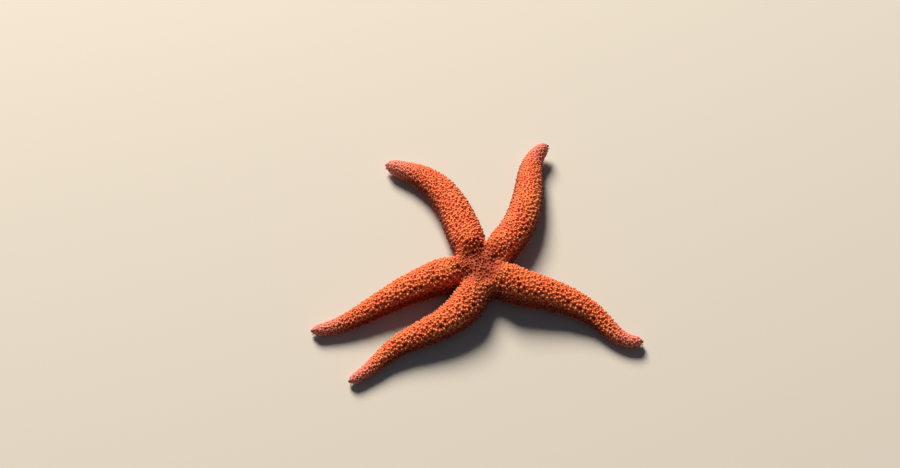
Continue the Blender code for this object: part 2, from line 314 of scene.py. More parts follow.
def close_disc_underside(mesh, rings):
    """Runs each groove on to the mouth, with a jaw corner between each two grooves."""
    roof = mesh.verts.new((*MOUTH, MOUTH_ROOF))
    grooves = {}
    for arm in ARMS:
        end = rings[arm.number][0, GROOVE_ROOF].co
        grooves[arm.number] = [mesh.verts.new(roof.co.lerp(end, step)) for step in GROOVE_STEPS]
    for arm in ARMS:
        other = neighbour(arm)
        here, there = rings[arm.number], rings[other.number]
        near, far = grooves[arm.number], grooves[other.number]
        bearing, distance = armpit(arm)
        turn = (math.radians(other.heading) - bearing) % math.tau * LIP_TURN
        jaw = mesh.verts.new(from_mouth(bearing, distance * JAW_OUT, JAW_UP))
        lip = mesh.verts.new(from_mouth(bearing - turn, distance * LIP_OUT, LIP_UP))
        lip_there = mesh.verts.new(from_mouth(bearing + turn, distance * LIP_OUT, LIP_UP))
        sole = mesh.verts.new(from_mouth(bearing, distance * SOLE_OUT, SOLE_UP))
        patch(
            mesh,
            (
                (there[0, GROOVE_ROOF], there[-1, GROOVE_LIP], there[-1, SOLE], here[1, FLANK_LOW]),
                (far[1], lip_there, sole, here[1, SOLE]),
                (far[0], jaw, lip, here[1, GROOVE_LIP]),
                (roof, near[0], near[1], here[0, GROOVE_ROOF]),
            ),
        )


def cage_of_body():
    """The whole animal's coarse cage as a mesh, in millimetres."""
    mesh = bmesh.new()
    rings = root_rings(mesh)
    for arm in ARMS:
        last = rings[arm.number]
        for along in stations(arm):
            found = ring(mesh, arm, along)
            bridge(mesh, last, found)
            last = found
        close_tip(mesh, arm, last)
    close_disc_top(mesh, rings)
    close_disc_underside(mesh, rings)
    bmesh.ops.recalc_face_normals(mesh, faces=mesh.faces)
    data = bpy.data.meshes.new("cage")
    mesh.to_mesh(data)
    mesh.free()
    return data


def numbers(items, name, width, kind=numpy.float64):
    """One property of all of a mesh's items as an array."""
    found = numpy.empty(len(items) * width, kind)
    items.foreach_get(name, found)
    return found.reshape(-1, width)


class Surface(NamedTuple):
    points: numpy.ndarray
    normals: numpy.ndarray
    faces: numpy.ndarray  # four corners each


@functools.cache
def smooth_body():
    """The body without its relief, as one smooth closed surface in millimetres."""
    cage = bpy.data.objects.new("cage", cage_of_body())
    bpy.context.scene.collection.objects.link(cage)
    smooth = cage.modifiers.new("smooth", "SUBSURF")
    smooth.levels = SMOOTHING
    graph = bpy.context.evaluated_depsgraph_get()
    shape = bpy.data.meshes.new_from_object(cage.evaluated_get(graph))
    found = Surface(
        numbers(shape.vertices, "co", 3),
        numbers(shape.vertices, "normal", 3),
        numbers(shape.loops, "vertex_index", 1, numpy.int32).reshape(-1, 4),
    )
    bpy.data.meshes.remove(shape)
    bpy.data.meshes.remove(cage.data)
    return found


# Places on the body ---------------------------------------------------------------------------


def smoothstep(low, high, value):
    share = numpy.clip((value - low) / (high - low), 0.0, 1.0)
    return share * share * (3 - 2 * share)


def between(low, high, share):
    return low + (high - low) * share


def unit(vectors):
    return vectors / numpy.maximum(numpy.linalg.norm(vectors, axis=-1, keepdims=True), TINY)


def on_arm(arm, points):
    """How far along an arm points lie, how far to its left, and the angle round it from its crest."""
    line, spots, _ = centreline(arm)
    coarse = slice(None, None, round(1 / MARCH))
    spots = spots[coarse]
    apart = (spots**2).sum(1) - 2 * points[:, :2] @ spots.T
    nearest = line[coarse][apart.argmin(1)]
    middle, ahead, left = place(arm, nearest)
    away = points[:, :2] - middle
    along = nearest + (away * ahead).sum(1)
    side = (away * left).sum(1)
    half = half_width(arm, along)
    up = (points[:, 2] - lift(arm, numpy.minimum(along, arm.length))[0]) / (half * TALL)
    return along, side, numpy.arctan2(side / half, (up - AXIS_UP) * UPRIGHT)


class Places(NamedTuple):
    """Facts of many points of the body."""

    arm: numpy.ndarray  # index of the nearest arm
    along: numpy.ndarray  # share of that arm's length, from the mouth
    round: numpy.ndarray  # angle round the arm from its crest, radians
    tipward: numpy.ndarray  # 0 over most of the arm, 1 at its tip
    under: numpy.ndarray  # 0 on the back and flanks, 1 on the sole
    groove: numpy.ndarray  # 1 in the grooves and the mouth
    painted_shade: numpy.ndarray  # 0 on the arms' backs, 1 low on their flanks: painted shade, which darkens the colour there and round the disc


TIP_FROM = 0.76  # share of an arm's length where the tip's colours begin
UNDER_FROM, UNDER_TO = -0.35, -0.80  # steepness of the skin's normal where the flank turns to sole
FLANK_FROM, FLANK_TO = 0.70, 0.10  # the same where painted shade begins, down from the back over the flank
DISC_FROM, DISC_TO = 0.19, 0.06  # shares of an arm's length where the painted shade round the disc fades in
DISC_SHADE = 0.8  # how strong the painted shade round the disc is, as a share of the low flanks'
TIP_SHADE = 0.25  # the same for the flanks at the tips
GROOVE_SIDE = 0.36  # the groove with its lips, in half-widths of the arm
GROOVE_NEAR = 2.6  # the same near the mouth, in millimetres
GROOVE_ROUND = math.radians(105)  # a groove lies at least this far round the arm from its crest
GROOVE_END = 0.97  # share of an arm's length where its groove ends


def find_places(points, normals):
    """The facts of points of the body, each by the arm whose centreline is nearest for its width."""
    best = numpy.full(len(points), numpy.inf)
    arm_of = numpy.zeros(len(points), int)
    along, side, turn = (numpy.zeros(len(points)) for _ in range(3))
    for index, arm in enumerate(ARMS):
        here, left, angle = on_arm(arm, points)
        half = half_width(arm, here)
        past = numpy.maximum(-here, 0.0)
        away = numpy.hypot(left, past) / half
        near = away < best
        best[near], arm_of[near] = away[near], index
        along[near], side[near], turn[near] = (here / arm.length)[near], (left / half)[near], angle[near]
    root = numpy.array([arm.root for arm in ARMS])[arm_of]
    under = smoothstep(UNDER_FROM, UNDER_TO, normals[:, 2])
    low = numpy.abs(turn) > GROOVE_ROUND
    groove_side = numpy.maximum(GROOVE_SIDE, GROOVE_NEAR / root)
    groove = low & (numpy.abs(side) < groove_side) & (along < GROOVE_END)
    tipward = smoothstep(TIP_FROM, 1.0, along)
    # Painted shade: the colour darkens low on the flanks, less at the tips, and round the disc, where shade
    # falls; not on the sole.
    flank = smoothstep(FLANK_FROM, FLANK_TO, normals[:, 2])
    flank = flank * between(1.0, TIP_SHADE, tipward)
    painted_shade = numpy.maximum(flank, DISC_SHADE * smoothstep(DISC_FROM, DISC_TO, along)) * (1 - under)
    return Places(arm_of, along, turn, tipward, under, groove.astype(float), painted_shade)


def scattered(count, seed):
    """Random places all over the smooth body, evenly by area: points, normals."""
    body = smooth_body()
    chance = numpy.random.default_rng(seed)
    triangles = numpy.concatenate((body.faces[:, [0, 1, 2]], body.faces[:, [0, 2, 3]]))
    corner = body.points[triangles]
    doubled = numpy.cross(corner[:, 1] - corner[:, 0], corner[:, 2] - corner[:, 0])
    reach = numpy.cumsum(numpy.linalg.norm(doubled, axis=1))
    chosen = triangles[numpy.searchsorted(reach, chance.uniform(0, reach[-1], count))]
    first, second = chance.uniform(size=(2, count))
    folded = first + second > 1
    first[folded], second[folded] = 1 - first[folded], 1 - second[folded]
    share = numpy.stack((1 - first - second, first, second), 1)[:, :, None]
    points = (body.points[chosen] * share).sum(1)
    return points, unit((body.normals[chosen] * share).sum(1))


def spaced(points, gaps):
    """Which points keep their own gap from every one kept before them, in the order given."""
    cell = float(gaps.max())
    cells = numpy.floor(points / cell).astype(int).tolist()
    steps = [(i, j, k) for i in (-1, 0, 1) for j in (-1, 0, 1) for k in (-1, 0, 1)]
    kept, grid = [], {}
    for number, ((x, y, z), (i, j, k), gap) in enumerate(zip(points.tolist(), cells, gaps.tolist())):
        near = (spot for a, b, c in steps for spot in grid.get((i + a, j + b, k + c), ()))
        if all((x - u) ** 2 + (y - v) ** 2 + (z - w) ** 2 >= gap * gap for u, v, w in near):
            grid.setdefault((i, j, k), []).append((x, y, z))
            kept.append(number)
    return numpy.array(kept)


# The net of ridges and pits ---------------------------------------------------------------------

PIT_TRIES, PIT_SEED = 150_000, 11
PACKED = 0.78  # the least gap over the usual spacing, when points are strewn as close as they go
TIP_SCALE = 0.72  # everything on the skin is this much smaller at an arm's tip
SHRINK_FROM = 0.45  # share of an arm's length where it begins to get smaller
PUSH = 0.40  # how unequal the pits are, in millimetres


def growth(places):
    """Size of the small things of the skin, as a share of their size on the disc."""
    return between(1.0, TIP_SCALE, smoothstep(SHRINK_FROM, 1.0, places.along))


class Net(NamedTuple):
    """The middles of the pits. The ridges run where two middles are as near as each other."""

    middles: numpy.ndarray
    normals: numpy.ndarray
    pushes: numpy.ndarray  # a pit with a larger push has its ridge further out
    places: Places
    tree: KDTree


@functools.cache
def pit_net(spacing):
    points, normals = scattered(PIT_TRIES, PIT_SEED)
    gaps = spacing * PACKED * growth(find_places(points, normals))
    kept = spaced(points, gaps)
    pushes = numpy.random.default_rng(PIT_SEED).uniform(-PUSH, PUSH, len(kept))
    tree = KDTree(len(kept))
    for number, point in enumerate(points[kept].tolist()):
        tree.insert(point, number)
    tree.balance()
    places = find_places(points[kept], normals[kept])
    return Net(points[kept], normals[kept], pushes, places, tree)


def from_ridge(net, points):
    """Distances to the nearest ridge and to the nearest corner of three, and the way across it."""
    found = [net.tree.find_n(point, 3) for point in points.tolist()]
    index = numpy.array([[one[1] for one in row] for row in found])
    away = numpy.array([[one[2] for one in row] for row in found]) - net.pushes[index]
    order = away.argsort(1)
    away, index = numpy.take_along_axis(away, order, 1), numpy.take_along_axis(index, order, 1)
    across = net.middles[index[:, 1]] - net.middles[index[:, 0]]
    return (away[:, 1] - away[:, 0]) / 2, (away[:, 2] - away[:, 0]) / 2, across


UNEVEN_ACROSS, UNEVEN = 11.0, 0.16  # width and depth of the skin's slow swells, in millimetres
TIP_COAT, SOLE_COAT = 0.45, 0.35  # the coat's depth there, as shares of its depth on the disc
TIP_PIT = 0.45  # depth of a pit at an arm's tip, as a share of the others'
RIM_SLOPE = 0.60  # width of a pit's wall


def relief(size, places, points, rim):
    """How far in from the smooth body the skin lies, and how deep in a pit each place is, 0 to 1."""
    grown = growth(places)
    open_skin = (1 - places.under) * (1 - places.groove)
    edge = size.ridge_width / MM / 2 * grown
    pit = smoothstep(edge, edge + RIM_SLOPE * grown, rim) * open_skin
    coat = between(1.0, TIP_COAT, places.tipward) * between(SOLE_COAT, 1.0, open_skin)
    swell = [noise.noise(point) for point in (points / UNEVEN_ACROSS).tolist()]
    depth = size.coat_depth / MM * coat + UNEVEN * (1 + numpy.array(swell)) * open_skin * grown
    sunk = size.pit_depth / MM * grown * between(1.0, TIP_PIT, places.tipward)
    return depth + sunk * pit, pit


# Meshes and their attributes --------------------------------------------------------------------

UV_MAP = "OFBake"
PATCH = 0.003  # a small thing's patch on the unwrap
SPREAD_ALONG, MARGIN = 1.06, 0.02  # how much of an arm's length it spans, and its empty border


def on_unwrap(places):
    """A place on one arm's own unwrap: across by its distance along the arm, up by its angle round it."""
    across = MARGIN + numpy.clip(places.along, 0, SPREAD_ALONG) / SPREAD_ALONG * (1 - 2 * MARGIN)
    upward = 0.5 + places.round / math.tau * (1 - 2 * MARGIN)
    return numpy.stack((across, upward), -1)


def finished_mesh(name, points, corners, sizes, corner_map, values, made_of):
    """An object from arrays: points in millimetres, faces as their corners and sizes."""
    mesh = bpy.data.meshes.new(name)
    mesh.vertices.add(len(points))
    mesh.vertices.foreach_set("co", (points * MM).astype(numpy.float32).ravel())
    mesh.loops.add(len(corners))
    mesh.polygons.add(len(sizes))
    mesh.polygons.foreach_set("loop_start", (numpy.cumsum(sizes) - sizes).astype(numpy.int32))
    mesh.polygons.foreach_set("vertices", corners.astype(numpy.int32))
    mesh.polygons.foreach_set("use_smooth", numpy.ones(len(sizes), bool))
    mesh.update(calc_edges=True)
    mesh.uv_layers.new(name=UV_MAP).uv.foreach_set("vector", corner_map.astype(numpy.float32).ravel())
    for label, value in values.items():
        layer = mesh.attributes.new(label, "FLOAT", "POINT")
        layer.data.foreach_set("value", value.astype(numpy.float32))
    mesh.materials.append(made_of)
    piece = bpy.data.objects.new(name, mesh)
    bpy.context.scene.collection.objects.link(piece)
    return piece


def placed(piece, slot, *nodes):
    """Joins a finished piece to the frame."""
    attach(piece, BODY)
    if nodes:
        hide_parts(*nodes)


class Shape(NamedTuple):
    """A small pattern shape of unit height and radius, to be copied many times."""

    points: numpy.ndarray
    corners: numpy.ndarray
    sizes: numpy.ndarray


def round_faces(rings, sides):
    """Corners and sizes of the faces over rings of points, the lowest first, and a point at the top."""
    corners, sizes = [], []
    for number in range(sides):
        after = (number + 1) % sides
        for level in range(rings - 1):
            low, high = level * sides, (level + 1) * sides
            corners += [low + number, low + after, high + after, high + number]
            sizes.append(4)
        top = (rings - 1) * sides
        corners += [top + number, top + after, rings * sides]
        sizes.append(3)
    return numpy.array(corners), numpy.array(sizes)


def turned(profile, sides):
    """A shape turned about +Z from (radius, height) steps, closed by a point at the last one."""
    angle = numpy.arange(sides) / sides * math.tau
    circle = numpy.stack((numpy.cos(angle), numpy.sin(angle)), 1)
    rings = [numpy.column_stack((circle * out, numpy.full(sides, up))) for out, up in profile[:-1]]
    points = numpy.vstack([*rings, (0.0, 0.0, profile[-1][1])])
    return Shape(points, *round_faces(len(rings), sides))


def copies(name, slot, shape, roots, axes, places, seed, made_of):
    """Places one mesh of a shape's copies, each at its root on its own three axes, in millimetres."""
    count, size = len(roots), len(shape.points)
    points = roots[:, None] + sum(
        shape.points[None, :, number, None] * axis[:, None] for number, axis in enumerate(axes)
    )
    points[..., 2] = numpy.maximum(points[..., 2], 0.0)
    corners = (shape.corners + numpy.arange(count)[:, None] * size).ravel()
    flat = shape.points[:, :2] / (2 * numpy.abs(shape.points[:, :2]).max())
    spots = (on_unwrap(places)[:, None] + flat * PATCH).reshape(-1, 2)
    tint = numpy.random.default_rng(seed).uniform(size=count)
    values = {
        "tipward": numpy.repeat(places.tipward, size),
        "under": numpy.repeat(places.under, size),
        "painted_shade": numpy.repeat(places.painted_shade, size),
        "tint": numpy.repeat(tint, size),
        "crown": numpy.tile(numpy.clip(shape.points[:, 2], 0.0, 1.0), count),
    }
    sizes = numpy.tile(shape.sizes, count)
    points = points.reshape(-1, 3)
    placed(finished_mesh(name, points, corners, sizes, spots[corners], values, made_of), slot)


def chosen(places, index):
    return Places(*(fact[index] for fact in places))


def on_each_arm(name, slot, shape, roots, axes, places, seed, made_of):
    """Copies all over the animal, as one piece for each arm with its share of the disc."""
    for number, arm in enumerate(ARMS):
        mine = numpy.flatnonzero(places.arm == number)
        own_axes = [axis[mine] for axis in axes]
        own, label = chosen(places, mine), f"{name}_{arm.number}"
        copies(label, slot, shape, roots[mine], own_axes, own, seed + number, made_of)


def stood_on(normals, along, lean, seed):
    """Three unit axes for each of many small things: along the given way, beside it, and up the
    normal, leaning at random by up to lean radians."""
    chance = numpy.random.default_rng(seed)
    upward = unit(normals + chance.normal(0, lean, normals.shape))
    first = unit(along - upward * (along * upward).sum(1, keepdims=True))
    return first, numpy.cross(upward, first), upward


# Materials --------------------------------------------------------------------------------------


def linear(code):
    """An sRGB hex colour as the linear red, green and blue that shaders take."""
    shares = [int(code[number : number + 2], 16) / 255 for number in (0, 2, 4)]
    return tuple(s / 12.92 if s <= 0.04045 else ((s + 0.055) / 1.055) ** 2.4 for s in shares)


def opaque(code):
    """A colour property as the four numbers that a colour socket takes."""
    return (*code, 1.0)


def per_metre(millimetres):
    """The scale of a noise or Voronoi texture whose features are this wide."""
    return 1 / (millimetres * MM)


def add(tree, kind, inputs=None, gives=0, **settings):
    """Adds a node and returns the output asked for. Each input is a value, or the output that
    feeds it."""
    node = tree.nodes.new("ShaderNode" + kind)
    for name, value in settings.items():
        setattr(node, name, value)
    for name, value in (inputs or {}).items():
        if isinstance(value, bpy.types.NodeSocket):
            tree.links.new(value, node.inputs[name])
        else:
            node.inputs[name].default_value = value
    return node.outputs[gives] if node.outputs else None


FACTOR, A, B = 0, 6, 7  # the inputs of a Mix node that mixes colours
COLOURS = {"data_type": "RGBA", "gives": 2}
EASED = {"interpolation_type": "SMOOTHSTEP"}


def begun(name):
    """An empty material, its node tree, and the place on the piece as an output."""
    made = bpy.data.materials.new(name)
    made.use_nodes = True
    tree = made.node_tree
    tree.nodes.clear()
    return made, tree, add(tree, "TexCoord", gives="Object")


def colours_and_painted_shade(tree, where, look):
    """The animal's colours with painted shade, the same on the skin and on all that grows on it: the colour
    of the ridges and the colour of the pits, as outputs of two nodes. Painted shade darkens both low on the
    flanks and round the disc."""
    tipward, under, painted_shade = (
        add(tree, "Attribute", gives="Fac", attribute_name=fact) for fact in ("tipward", "under", "painted_shade")
    )
    scale = per_metre(look.blotch_width / MM)
    blotches = add(tree, "TexNoise", {"Vector": where, "Scale": scale, "Detail": 2.0})
    warmth = add(tree, "MapRange", {"Value": blotches, "From Min": 0.40, "From Max": 0.62}, **EASED)
    ridge, pit = opaque(look.ridge_colour), opaque(look.pit_colour)
    # The ridges warm in blotches, turn pinker at the tips and paler on the sole, and take painted shade low
    # on the flanks and round the disc.
    for share, there in (
        (warmth, look.warm_ridge_colour),
        (tipward, look.tip_ridge_colour),
        (painted_shade, look.shaded_ridge_colour),
        (under, look.sole_colour),
    ):
        ridge = add(tree, "Mix", {FACTOR: share, A: ridge, B: opaque(there)}, **COLOURS)
    # The pits turn crimson at the tips and take painted shade low on the flanks and round the disc.
    for share, there in ((tipward, look.tip_pit_colour), (painted_shade, look.shaded_pit_colour)):
        pit = add(tree, "Mix", {FACTOR: share, A: pit, B: opaque(there)}, **COLOURS)
    return ridge, pit


def moist_skin(look):
    """Thick, glandular skin over a chalky net. Mucus keeps it moist, so it gives broad, weak
    highlights, and light soaks a little way into it and comes back redder."""
    made, tree, where = begun("moist_glandular_skin")
    ridge, pit = colours_and_painted_shade(tree, where, look)
    # The pits are darker: partly the pits' own red, partly painted shade in the hollows.
    depth = add(tree, "Attribute", gives="Fac", attribute_name="pit")
    speckle = add(tree, "TexNoise", {"Vector": where, "Scale": per_metre(0.7), "Detail": 3.0})
    ragged = add(tree, "MapRange", {"Value": speckle, "To Min": -0.35, "To Max": 0.35})
    edge = add(tree, "Math", {0: depth, 1: ragged}, operation="ADD")
    share = add(tree, "MapRange", {"Value": edge, "From Min": 0.18, "From Max": 0.62}, **EASED)
    paint = add(tree, "Mix", {FACTOR: share, A: ridge, B: pit}, **COLOURS)
    rough = add(tree, "MapRange", {"Value": speckle, "To Min": 0.44, "To Max": 0.66})
    glands = add(tree, "TexVoronoi", {"Vector": where, "Scale": per_metre(0.30), "Randomness": 0.9})
    bump = add(tree, "Bump", {"Height": glands, "Strength": 0.5, "Distance": 0.08 * MM})
    shader = add(
        tree,
        "BsdfPrincipled",
        {
            "Base Color": paint,
            "Roughness": rough,
            "Normal": bump,
            "IOR": 1.40,
            "Specular IOR Level": 0.20,
            "Subsurface Weight": look.depth_of_light,
            "Subsurface Radius": (1.0, 0.30, 0.15),
            "Subsurface Scale": 1.1 * MM,
        },
    )
    add(tree, "OutputMaterial", {"Surface": shader})
    return made


def skinned_calcite(name, look, crown_colour, tip_crown_colour):
    """Blunt calcite spinelets in thin skin: the skin's colours at the foot, drawn towards the pits' colour
    as painted shade where they meet the skin, and paler at the top, partly where the chalk shows through
    and partly as a painted highlight. Low on the flanks their tops take painted shade too. The skin on them
    is dry to the eye, with little gloss."""
    made, tree, where = begun(name)
    ridge, pit = colours_and_painted_shade(tree, where, look)
    tipward, painted_shade, crown, tint = (
        add(tree, "Attribute", gives="Fac", attribute_name=fact)
        for fact in ("tipward", "painted_shade", "crown", "tint")
    )
    # Tops: paler than the skin, partly where the chalk shows through and partly a painted highlight; pinker
    # at the tips, with painted shade low on the flanks and round the disc.
    top = opaque(crown_colour)
    for share, there in ((tipward, tip_crown_colour), (painted_shade, look.shaded_crown_colour)):
        top = add(tree, "Mix", {FACTOR: share, A: top, B: opaque(there)}, **COLOURS)
    strength = add(tree, "MapRange", {"Value": tint, "To Min": 0.45, "To Max": 1.0})
    rising = add(tree, "MapRange", {"Value": crown, "From Min": 0.25, "From Max": 0.95}, **EASED)
    share = add(tree, "Math", {0: rising, 1: strength}, operation="MULTIPLY")
    # Painted shade at the foot: the colour runs towards the pits' colour where a spinelet meets the skin.
    foot = add(
        tree, "MapRange", {"Value": crown, "From Min": 0.0, "From Max": 0.35, "To Min": 0.45, "To Max": 0.0}
    )
    low = add(tree, "Mix", {FACTOR: foot, A: ridge, B: pit}, **COLOURS)
    paint = add(tree, "Mix", {FACTOR: share, A: low, B: top}, **COLOURS)
    grain = add(tree, "TexNoise", {"Vector": where, "Scale": per_metre(0.25), "Detail": 2.0})
    bump = add(tree, "Bump", {"Height": grain, "Strength": 0.4, "Distance": 0.06 * MM})
    rough = add(tree, "MapRange", {"Value": grain, "To Min": 0.45, "To Max": 0.65})
    shader = add(
        tree,
        "BsdfPrincipled",
        {
            "Base Color": paint,
            "Roughness": rough,
            "Normal": bump,
            "IOR": 1.45,
            "Specular IOR Level": 0.35,
            "Subsurface Weight": look.depth_of_light,
            "Subsurface Radius": (1.0, 0.35, 0.20),
            "Subsurface Scale": 0.8 * MM,
        },
    )
    add(tree, "OutputMaterial", {"Surface": shader})
    return made


def thin_wet_skin(name, foot_colour, end_colour, roughness, glow):
    """Thin, wet, see-through skin filled with fluid, as on gills and tube feet: smooth and glossy,
    one colour at the foot and another at the end, softened by light from inside."""
    made, tree, where = begun(name)
    crown, tint = (
        add(tree, "Attribute", gives="Fac", attribute_name=fact) for fact in ("crown", "tint")
    )
    cloud = add(tree, "TexNoise", {"Vector": where, "Scale": per_metre(1.1), "Detail": 2.0})
    drift = add(tree, "MapRange", {"Value": cloud, "To Min": -0.3, "To Max": 0.3})
    spread = add(tree, "MapRange", {"Value": tint, "To Min": -0.2, "To Max": 0.2})
    offset = add(tree, "Math", {0: drift, 1: spread}, operation="ADD")
    share = add(tree, "Math", {0: crown, 1: offset}, operation="ADD", use_clamp=True)
    paint = add(tree, "Mix", {FACTOR: share, A: opaque(foot_colour), B: opaque(end_colour)}, **COLOURS)
    wrinkles = add(tree, "TexNoise", {"Vector": where, "Scale": per_metre(0.2), "Detail": 1.0})
    bump = add(tree, "Bump", {"Height": wrinkles, "Strength": 0.3, "Distance": 0.04 * MM})
    rough = add(
        tree, "MapRange", {"Value": cloud, "To Min": roughness - 0.07, "To Max": roughness + 0.07}
    )
    shader = add(
        tree,
        "BsdfPrincipled",
        {
            "Base Color": paint,
            "Roughness": rough,
            "Normal": bump,
            "IOR": 1.38,
            "Subsurface Weight": glow,
            "Subsurface Radius": (1.0, 0.45, 0.30),
            "Subsurface Scale": 0.7 * MM,
        },
    )
    add(tree, "OutputMaterial", {"Surface": shader})
    return made


def chalky_plate(look):
    """Bare porous calcite under the thinnest skin: matt and pale, with darker, damp furrows."""
    made, tree, where = begun("chalky_sieve_plate")
    furrow = add(tree, "Attribute", gives="Fac", attribute_name="pit")
    pores = add(tree, "TexNoise", {"Vector": where, "Scale": per_metre(0.15), "Detail": 2.0})
    mottle = add(tree, "MapRange", {"Value": pores, "To Min": -0.25, "To Max": 0.25})
    share = add(tree, "Math", {0: furrow, 1: mottle}, operation="ADD", use_clamp=True)
    ends = {A: opaque(look.plate_colour), B: opaque(look.furrow_colour)}
    paint = add(tree, "Mix", {FACTOR: share, **ends}, **COLOURS)
    rough = add(tree, "MapRange", {"Value": share, "To Min": 0.72, "To Max": 0.50})
    bump = add(tree, "Bump", {"Height": pores, "Strength": 0.5, "Distance": 0.05 * MM})
    shader = add(
        tree,
        "BsdfPrincipled",
        {"Base Color": paint, "Roughness": rough, "Normal": bump, "Specular IOR Level": 0.3},
    )
    add(tree, "OutputMaterial", {"Surface": shader})
    return made


def pigment_cushion(look):
    """An eyespot: a wet cushion packed with tiny cups of crimson pigment."""
    made, tree, where = begun("eyespot_pigment_cushion")
    cups = add(tree, "TexVoronoi", {"Vector": where, "Scale": per_metre(0.28)})
    rim = add(tree, "MapRange", {"Value": cups, "From Min": 0.15, "From Max": 0.60}, **EASED)
    ends = {A: opaque(look.pigment_colour), B: opaque(look.cushion_colour)}
    paint = add(tree, "Mix", {FACTOR: rim, **ends}, **COLOURS)
    rough = add(tree, "MapRange", {"Value": rim, "To Min": 0.22, "To Max": 0.38})
    bump = add(tree, "Bump", {"Height": rim, "Strength": 0.5, "Distance": 0.05 * MM})
    shader = add(
        tree,
        "BsdfPrincipled",
        {"Base Color": paint, "Roughness": rough, "Normal": bump, "IOR": 1.38, "Coat Weight": 0.3},
    )
    add(tree, "OutputMaterial", {"Surface": shader})
    return made


def painted_board(look):
    """Board under matt emulsion paint: even, pale and without gloss, with a faint roller texture."""
    made, tree, where = begun("matt_painted_board")
    stipple = add(tree, "TexNoise", {"Vector": where, "Scale": per_metre(1.5), "Detail": 2.0})
    bump = add(tree, "Bump", {"Height": stipple, "Strength": 0.15, "Distance": 0.05 * MM})
    rough = add(tree, "MapRange", {"Value": stipple, "To Min": 0.82, "To Max": 0.94})
    paint = opaque(look.floor_colour)
    shader = add(
        tree,
        "BsdfPrincipled",
        {"Base Color": paint, "Roughness": rough, "Normal": bump, "Specular IOR Level": 0.2},
    )
    add(tree, "OutputMaterial", {"Surface": shader})
    return made


# Sizes and colours that a user would change -----------------------------------------------------


def length(label, note, millimetres):
    return bpy.props.FloatProperty(
        name=label, description=note, default=millimetres * MM, min=0.0, unit="LENGTH", precision=5
    )


def colour(label, note, code):
    return bpy.props.FloatVectorProperty(
        name=label, description=note, default=linear(code), min=0.0, max=1.0, size=3, subtype="COLOR"
    )


class SEASTAR_PG_skin(bpy.types.PropertyGroup):
    """Relief, colours and painted shade of the skin"""

    pit_spacing: length("Pit spacing", "Usual distance between the middles of two pits", 3.0)
    ridge_width: length("Ridge width", "Width of the flat top of the ridges between the pits", 1.30)
    pit_depth: length("Pit depth", "Depth of a pit under the ridges round it", 0.38)
    coat_depth: length("Coat depth", "How far the ridges lie inside the outline, under the spinelets", 0.60)
    blotch_width: length("Blotch width", "Width of the warmer and cooler blotches", 9.0)
    ridge_colour: colour("Ridges", "Orange-red of the ridges", "E56838")
    warm_ridge_colour: colour("Warm ridges", "Warmer orange of some stretches of the ridges", "EE7C40")
    # The pits' colours, here and at the tips, are partly the pits' own red and partly painted shade in the
    # hollows.
    pit_colour: colour("Pits", "Dark red of the pits", "A8321C")
    tip_ridge_colour: colour("Ridges at the tips", "Pinker red of the ridges at the arms' tips", "E87C6C")
    tip_pit_colour: colour("Pits at the tips", "Crimson of the pits at the arms' tips", "A83A3E")
    # Painted shade: these three colours stand in for shade low on the flanks and round the disc.
    shaded_ridge_colour: colour("Low ridges", "Deeper red of the ridges low on the flanks", "842814")
    shaded_pit_colour: colour("Low pits", "Brown-red of the pits low on the flanks", "4C120A")
    shaded_crown_colour: colour("Low crowns", "Deeper orange of the spinelets' tops on the flanks", "AE4C30")
    sole_colour: colour("Sole", "Paler orange of the underside", "E88A4E")
    depth_of_light: bpy.props.FloatProperty(
        name="Depth of light",
        description="How much of the light soaks into the skin",
        default=0.15,
        min=0.0,
        max=1.0,
        subtype="FACTOR",
    )


class SEASTAR_PG_coat(bpy.types.PropertyGroup):
    """Spinelets on the ridges and gills in the pits"""

    corner_radius: length("Large radius", "Radius of the spinelets where three ridges meet", 0.66)
    ridge_radius: length("Small radius", "Radius of the spinelets along a ridge", 0.50)
    height: length("Height", "Height of a large spinelet above its ridge", 0.95)
    corner_spacing: length("Large spacing", "Least distance between two large spinelets", 1.70)
    spacing: length("Spacing", "Least distance from a small spinelet to its neighbours", 1.20)
    # The crowns' paler colours are partly the chalk showing through and partly a painted highlight where
    # the tops catch the light.
    crown_colour: colour("Crowns", "Light orange of the spinelets' tops", "FFAA80")
    tip_crown_colour: colour("Crowns at the tips", "Salmon of the tops at the arms' tips", "FFC2B4")
    gill_radius: length("Gill radius", "Radius of a gill", 0.17)
    gill_height: length("Gill height", "Height of a gill above the floor of its pit", 0.42)
    gill_colour: colour("Gill feet", "Dark red at the foot of a gill", "6E1009")
    gill_end_colour: colour("Gill ends", "Red at the end of a gill", "B23018")


class SEASTAR_PG_groove(bpy.types.PropertyGroup):
    """Tube feet, groove spines and mouth spines"""

    foot_radius: length("Foot radius", "Radius of a tube foot near the mouth", 0.52)
    tip_foot_radius: length("Foot radius at the tips", "Radius of the last tube feet", 0.24)
    foot_colour: colour("Feet", "Orange of the tube feet's columns", "E9A36A")
    sucker_colour: colour("Suckers", "Pale cream of the suckers", "F4D8B4")
    spine_length: length("Spine length", "Length of the spines along the grooves", 1.15)
    spine_radius: length("Spine radius", "Radius of the spines along the grooves", 0.27)
    spine_colour: colour("Spine tops", "Pale orange of the groove spines' tops", "F2A56E")


class SEASTAR_PG_small(bpy.types.PropertyGroup):
    """The sieve plate and the eyespots"""

    plate_colour: colour("Plate", "Pale orange of the sieve plate", "DF7A50")
    furrow_colour: colour("Furrows", "Red of the sieve plate's furrows", "98301C")
    pigment_colour: colour("Pigment", "Crimson of the pigment cups", "5E0618")
    cushion_colour: colour("Cushion", "Magenta between the pigment cups", "B8284A")
    tentacle_colour: colour("Tentacles", "Crimson at the foot of the tips' tentacles", "9E1E30")
    tentacle_end_colour: colour("Tentacle ends", "Pink at the end of the tips' tentacles", "E4707A")


